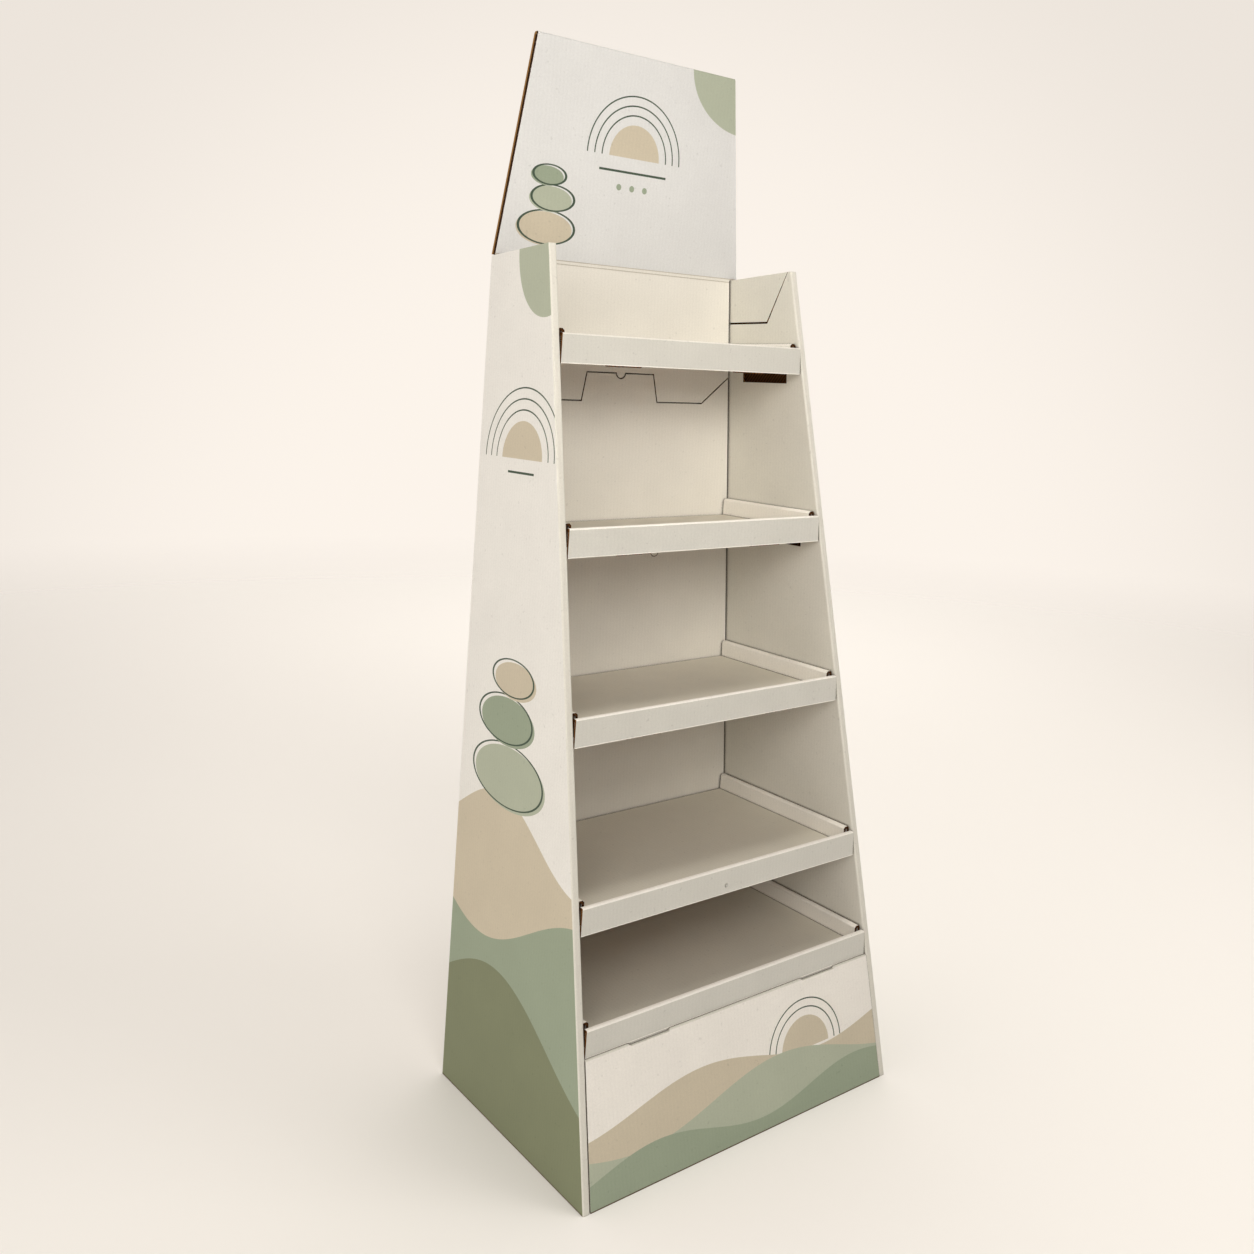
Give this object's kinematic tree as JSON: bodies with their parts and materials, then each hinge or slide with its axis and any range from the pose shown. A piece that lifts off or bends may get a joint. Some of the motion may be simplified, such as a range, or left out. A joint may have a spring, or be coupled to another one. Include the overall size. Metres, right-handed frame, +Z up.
{
  "type": "floor display stand",
  "caption": "Free-standing folded cardboard shop display: tapered double-walled sides, a lined back, lipped shelf trays, a plinth front and a leaning header card.",
  "frame": {"origin": "middle of the footprint, on the floor", "axes": "+Z up, -Y out of the open front, +X to the right as seen from the front"},
  "size_m": [0.6, 0.4, 1.5606],
  "materials": {
    "board": "matt white-lined corrugated board",
    "header_board": "matt white-lined corrugated board, folded double"
  },
  "bodies": {
    "root": {"body": "board", "back_liner": "board", "tray_1": "board", "tray_2": "board", "tray_3": "board", "tray_4": "board", "tray_5": "board", "plinth_front": "board", "header_card": "header_board"}
  },
  "joints": []
}
